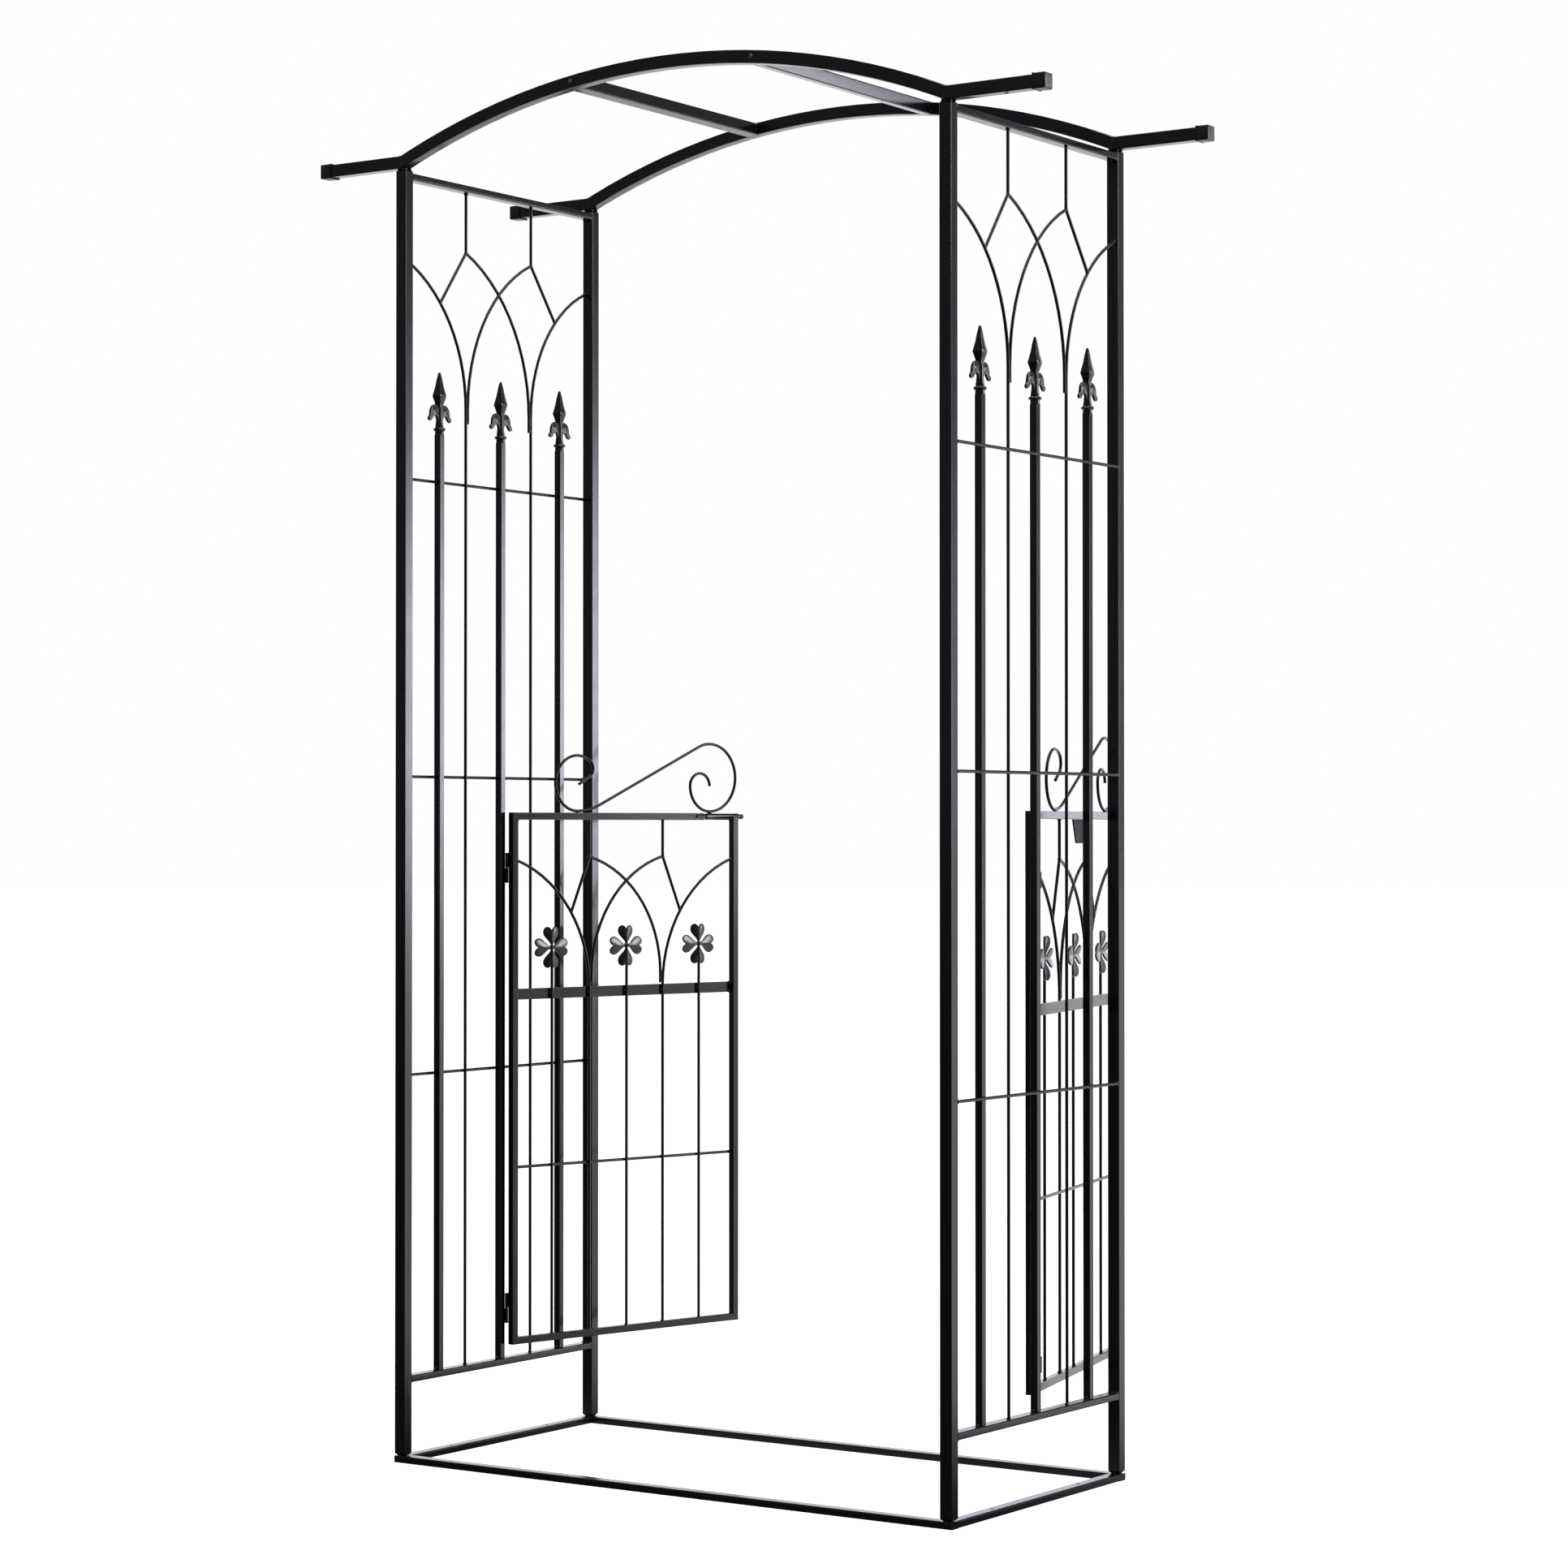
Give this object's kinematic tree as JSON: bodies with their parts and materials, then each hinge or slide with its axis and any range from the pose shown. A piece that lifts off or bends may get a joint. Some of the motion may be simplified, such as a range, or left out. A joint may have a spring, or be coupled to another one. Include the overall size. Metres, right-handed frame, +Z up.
{
  "type": "garden arch with gate",
  "caption": "Garden arch of black coated square tube with gothic trellis sides, spear finials, a curved roof and a pair of scroll-topped gate leaves",
  "frame": {"origin": "middle of the underside of the front base tube, on the ground plane", "axes": "+X to the right seen from the front, +Y from the front opening to the rear one, +Z up"},
  "size_m": [1.346, 0.7465, 2.165],
  "materials": {
    "black_coat": "smooth satin black powder coat with a soft sheen",
    "black_casting": "black coat over small castings and stampings, slightly duller",
    "cap_plastic": "black moulded plastic with a fine satin grain",
    "bolt_steel": "black coated round bar, rubbed smooth where it slides"
  },
  "bodies": {
    "frame": {"post_front_left": "black_coat", "post_front_right": "black_coat", "post_rear_left": "black_coat", "post_rear_right": "black_coat", "base_front": "black_coat", "base_rear": "black_coat", "base_left": "black_coat", "base_right": "black_coat", "top_rail_left": "black_coat", "bottom_rail_left": "black_coat", "top_rail_right": "black_coat", "bottom_rail_right": "black_coat", "bar_left_front": "black_coat", "bar_left_middle": "black_coat", "bar_left_rear": "black_coat", "bar_right_front": "black_coat", "bar_right_middle": "black_coat", "bar_right_rear": "black_coat", "lattice_left": "black_coat", "lattice_right": "black_coat", "arch_front": "black_coat", "arch_rear": "black_coat", "cross_bar_left": "black_coat", "cross_bar_right": "black_coat", "post_hinge_left_upper": "black_coat", "post_hinge_left_lower": "black_coat", "post_hinge_right_upper": "black_coat", "post_hinge_right_lower": "black_coat", "finial_left_front": "black_casting", "finial_left_middle": "black_casting", "finial_left_rear": "black_casting", "finial_right_front": "black_casting", "finial_right_middle": "black_casting", "finial_right_rear": "black_casting", "end_cap_front_left": "cap_plastic", "end_cap_front_right": "cap_plastic", "end_cap_rear_left": "cap_plastic", "end_cap_rear_right": "cap_plastic"},
    "gate_left": {"gate_frame_left": "black_coat", "gate_mid_rail_left": "black_coat", "gate_lattice_left": "black_coat", "gate_scroll_left": "black_coat", "gate_hinge_left_upper": "black_coat", "gate_hinge_left_lower": "black_coat", "clover_left_hinge": "black_casting", "clover_left_middle": "black_casting", "clover_left_free": "black_casting"},
    "gate_right": {"gate_frame_right": "black_coat", "gate_mid_rail_right": "black_coat", "gate_lattice_right": "black_coat", "gate_scroll_right": "black_coat", "gate_hinge_right_upper": "black_coat", "gate_hinge_right_lower": "black_coat", "pull_tab": "black_coat", "clover_right_hinge": "black_casting", "clover_right_middle": "black_casting", "clover_right_free": "black_casting"},
    "latch": {"latch_bolt": "bolt_steel"}
  },
  "joints": [
    {"name": "gate_left_swing", "type": "hinge", "parent": "frame", "child": "gate_left", "pos_m": [-0.497, 0.25, 0.5765], "axis": [0, 0, 1], "range_deg": [-75.5, 11.5]},
    {"name": "gate_right_swing", "type": "hinge", "parent": "frame", "child": "gate_right", "pos_m": [0.497, 0.25, 0.5765], "axis": [0, 0, -1], "range_deg": [-76, 11]},
    {"name": "latch_slide", "type": "slide", "parent": "gate_left", "child": "latch", "axis": [0.2504, 0.9681, 0], "range_m": [0, 0.02]}
  ]
}
